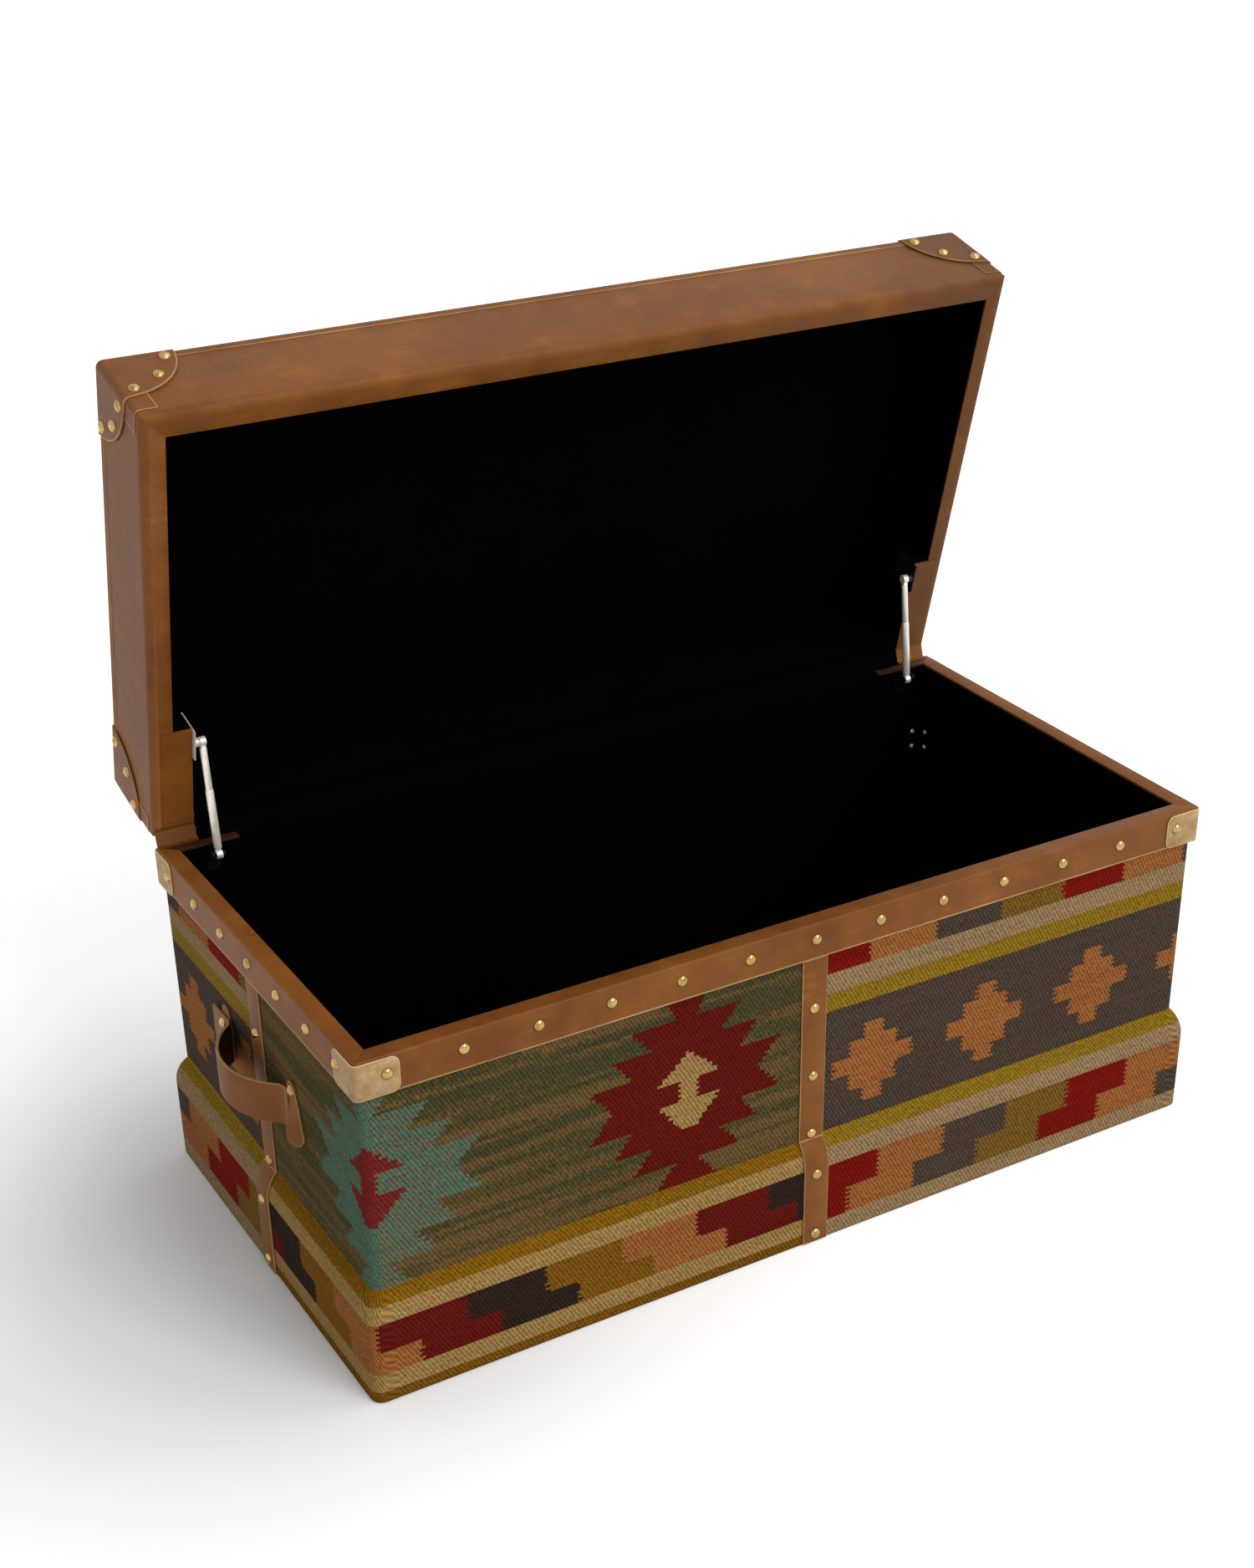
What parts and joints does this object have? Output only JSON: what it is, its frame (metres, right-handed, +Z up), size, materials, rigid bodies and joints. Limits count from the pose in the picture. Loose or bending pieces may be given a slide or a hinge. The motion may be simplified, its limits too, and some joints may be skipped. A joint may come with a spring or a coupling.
{
  "type": "lift-lid trunk",
  "caption": "Lift-lid storage trunk covered in kilim cloth, with a leather-bound rim, leather straps and handles, a rounded plinth and a hollow leather lid held by telescopic stays",
  "frame": {"origin": "Centre of the underside of the base board", "axes": "+X along the width to the right seen from the front, +Y to the back, +Z up"},
  "size_m": [1.0758, 0.6281, 0.9015],
  "materials": {
    "wood": "plain sawn",
    "kilim": "flat woven wool",
    "tan_leather": "satin",
    "pale_leather": "matte",
    "lining": "plain weave",
    "brass": "polished",
    "chrome": "polished",
    "steel": "zinc plated"
  },
  "bodies": {
    "box": {"back_board": "wood", "back_strap": "tan_leather", "base_board": "wood", "box_lining": "lining", "brace_screws": "steel", "corner_braces": "steel", "front_board": "wood", "front_strap": "tan_leather", "handle_left": "tan_leather", "handle_right": "tan_leather", "handle_studs": "brass", "handle_tabs": "tan_leather", "hinge_box_leaves": "steel", "hinge_box_screws": "steel", "hinge_pins": "steel", "kilim_back_left": "kilim", "kilim_back_right": "kilim", "kilim_front_left": "kilim", "kilim_front_right": "kilim", "left_board": "wood", "left_strap": "tan_leather", "plinth_back": "wood", "plinth_front": "wood", "plinth_left": "wood", "plinth_right": "wood", "right_board": "wood", "right_strap": "tan_leather", "rim_back": "tan_leather", "rim_caps": "pale_leather", "rim_front": "tan_leather", "rim_left": "tan_leather", "rim_right": "tan_leather", "rim_studs": "brass", "stay_box_brackets": "chrome", "strap_studs": "brass"},
    "lid": {"lid_back_board": "wood", "lid_corner_strips": "tan_leather", "lid_front_board": "wood", "lid_left_board": "wood", "lid_lining": "lining", "lid_patch_back_left": "tan_leather", "lid_patch_back_right": "tan_leather", "lid_patch_front_left": "tan_leather", "lid_patch_front_right": "tan_leather", "lid_right_board": "wood", "lid_stay_blocks": "tan_leather", "lid_studs": "brass", "lid_top_board": "wood", "lid_top_leather": "tan_leather", "lid_wrap_back": "tan_leather", "lid_wrap_front": "tan_leather", "lid_wrap_left": "tan_leather", "lid_wrap_right": "tan_leather", "hinge_lid_leaves": "steel", "hinge_lid_screws": "steel", "stay_lid_brackets": "chrome"},
    "stay_tube_left": {"stay_tube_left": "chrome"},
    "stay_tube_right": {"stay_tube_right": "chrome"},
    "stay_rod_left": {"stay_rod_left": "chrome"},
    "stay_rod_right": {"stay_rod_right": "chrome"}
  },
  "joints": [
    {"name": "lid_hinge", "type": "hinge", "parent": "box", "child": "lid", "pos_m": [0, 0.255, 0.382], "axis": [1, 0, 0], "range_deg": [0, 76]},
    {"name": "stay_left_pivot", "type": "hinge", "parent": "box", "child": "stay_tube_left", "pos_m": [-0.444, 0.214, 0.375], "axis": [1, 0, 0], "range_deg": [0, 90.02]},
    {"name": "stay_left_slide", "type": "slide", "parent": "stay_tube_left", "child": "stay_rod_left", "axis": [0, 0.1051, 0.9945], "range_m": [-0.04511, 0]},
    {"name": "stay_right_pivot", "type": "hinge", "parent": "box", "child": "stay_tube_right", "pos_m": [0.444, 0.214, 0.375], "axis": [1, 0, 0], "range_deg": [0, 90.02]},
    {"name": "stay_right_slide", "type": "slide", "parent": "stay_tube_right", "child": "stay_rod_right", "axis": [0, 0.1051, 0.9945], "range_m": [-0.04511, 0]}
  ],
  "couplings": [
    {"joint": "stay_left_pivot", "follows": "lid_hinge", "ratio": 1.1838},
    {"joint": "stay_left_slide", "follows": "lid_hinge", "m_per_rad": -0.033935},
    {"joint": "stay_right_pivot", "follows": "lid_hinge", "ratio": 1.1838},
    {"joint": "stay_right_slide", "follows": "lid_hinge", "m_per_rad": -0.033935}
  ]
}
